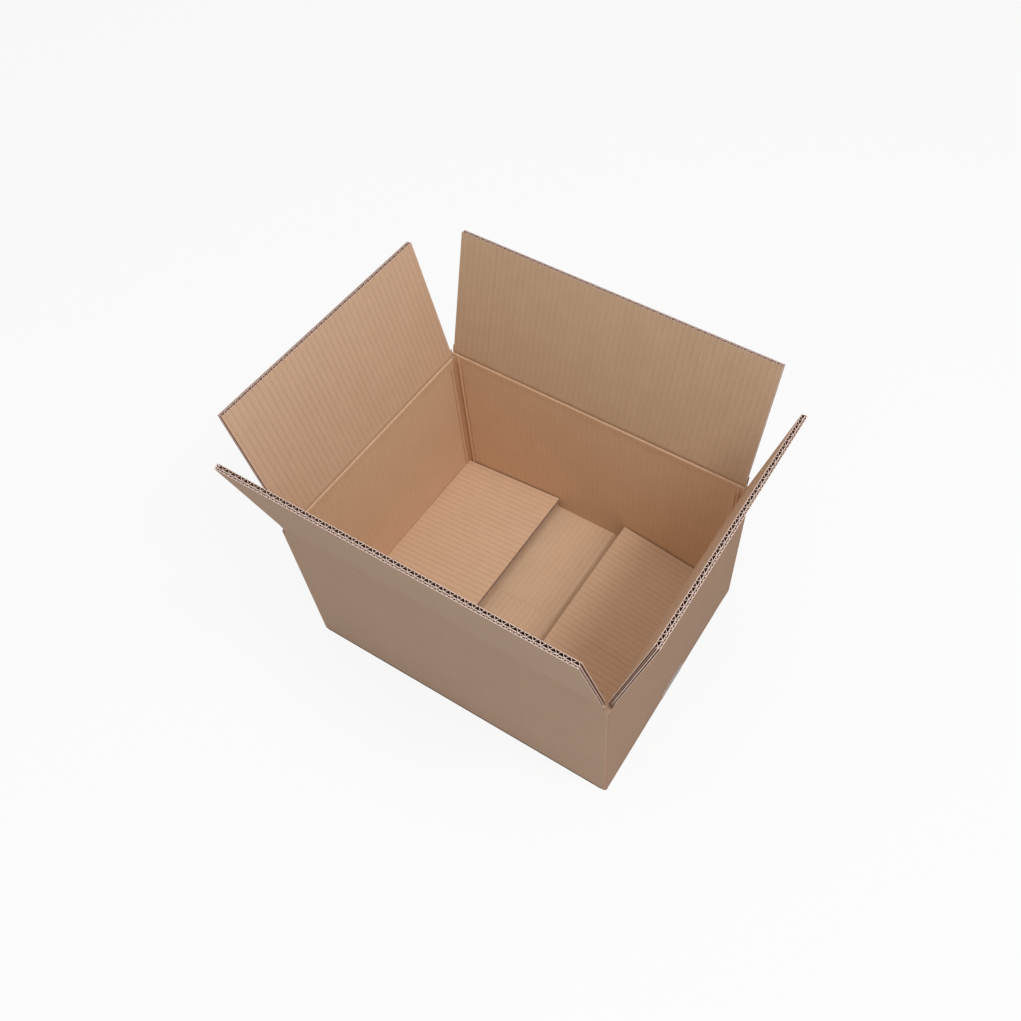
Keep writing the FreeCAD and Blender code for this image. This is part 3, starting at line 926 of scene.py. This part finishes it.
bpy.ops.object.select_all(action="DESELECT")
bpy.ops.mesh.primitive_plane_add(size=12, location=(0, 0, -0.2 * MM))
floor = bpy.context.object
floor.name = "studio_floor"
floor_material, tree = new_material("pale_studio_floor")
matt = add(tree, "ShaderNodeBsdfDiffuse", Color=linear("#E6E6E6"))
glow = add(tree, "ShaderNodeEmission", Color=linear("#FFFFFF"))
share = add(tree, "ShaderNodeMath", {0: seen_directly(tree)}, operation="MULTIPLY")
share.inputs[1].default_value = FLOOR_WHITE
both = add(tree, "ShaderNodeMixShader", {0: share.outputs[0], 1: matt.outputs[0], 2: glow.outputs[0]})
add(tree, "ShaderNodeOutputMaterial", {"Surface": both.outputs[0]})
floor.data.materials.append(floor_material)
floor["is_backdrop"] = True
print("floor", floor_material.name)

# %% The surround
SURROUND = 0.5
world = bpy.data.worlds.new("studio")
bpy.context.scene.world = world
world.use_nodes = True
world.node_tree.nodes.clear()
tree = world.node_tree
lit = add(tree, "ShaderNodeBackground", Color=linear("#FFFFFF"), Strength=SURROUND)
white = add(tree, "ShaderNodeBackground", Color=linear("#FFFFFF"), Strength=1.0)
mixed = add(tree, "ShaderNodeMixShader", {0: seen_directly(tree), 1: lit.outputs[0], 2: white.outputs[0]})
add(tree, "ShaderNodeOutputWorld", {"Surface": mixed.outputs[0]})
print("surround", SURROUND)

# %% [markdown]
# ## Lamps
# In the photograph the light is soft and comes from above, most of it from the right. One big lamp would
# leave the front wall too dark, so five square softboxes share the work: a key with a weaker one beside it,
# one overhead, and two weak ones in front that lift the front wall and the near flaps.

# %% Softboxes
LAMP_AIM = Vector((0, 0, 0.15))


def softbox(name, location, size, power):
    """A square lamp that looks at the middle of the box."""
    bpy.ops.object.light_add(type="AREA", location=location)
    lamp = bpy.context.object
    lamp.name = lamp.data.name = name
    lamp.data.size = size
    lamp.data.energy = power
    lamp.rotation_euler = (LAMP_AIM - lamp.location).to_track_quat("-Z", "Y").to_euler()
    print(name, "at", location)


softbox("key_softbox", (1.2, 0.0, 2.2), 0.4, 15)
softbox("near_softbox", (1.1, -0.5, 1.9), 0.6, 5)
softbox("top_softbox", (0, 0, 2.3), 0.8, 5)
softbox("front_softbox", (0, -1.3, 1.8), 0.8, 3)
softbox("front_fill", (0.7, -1.9, 0.75), 1.0, 4.2)

# %% [markdown]
# ## The camera
# The photograph was taken from above the near corner with a normal lens and then cropped, so the middle of
# the picture isn't on the lens's axis. The camera's shift stands for that crop.

# %% Camera
bpy.ops.object.camera_add(
    location=(0.37977, -0.48257, 1.06746),
    rotation=[math.radians(angle) for angle in (34.6741, -0.8307, 30.7301)],
)
camera = bpy.context.object
camera.data.sensor_width = 36
camera.data.lens = 34.664
camera.data.shift_x = -0.0948
camera.data.shift_y = 0.0126
bpy.context.scene.camera = camera
bpy.context.scene.view_settings.view_transform = "Standard"
print("camera", round(camera.location.length, 2), "m from the foot of the box")

# %% [markdown]
# ## Sizes
# Blender adds looks and no size: the dressed part has to fill the same box as the solids, so both are kept.

# %% The size of the dressed part
low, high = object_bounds()
print("dressed part", [round((b - a) / MM, 1) for a, b in zip(low, high)], "mm")
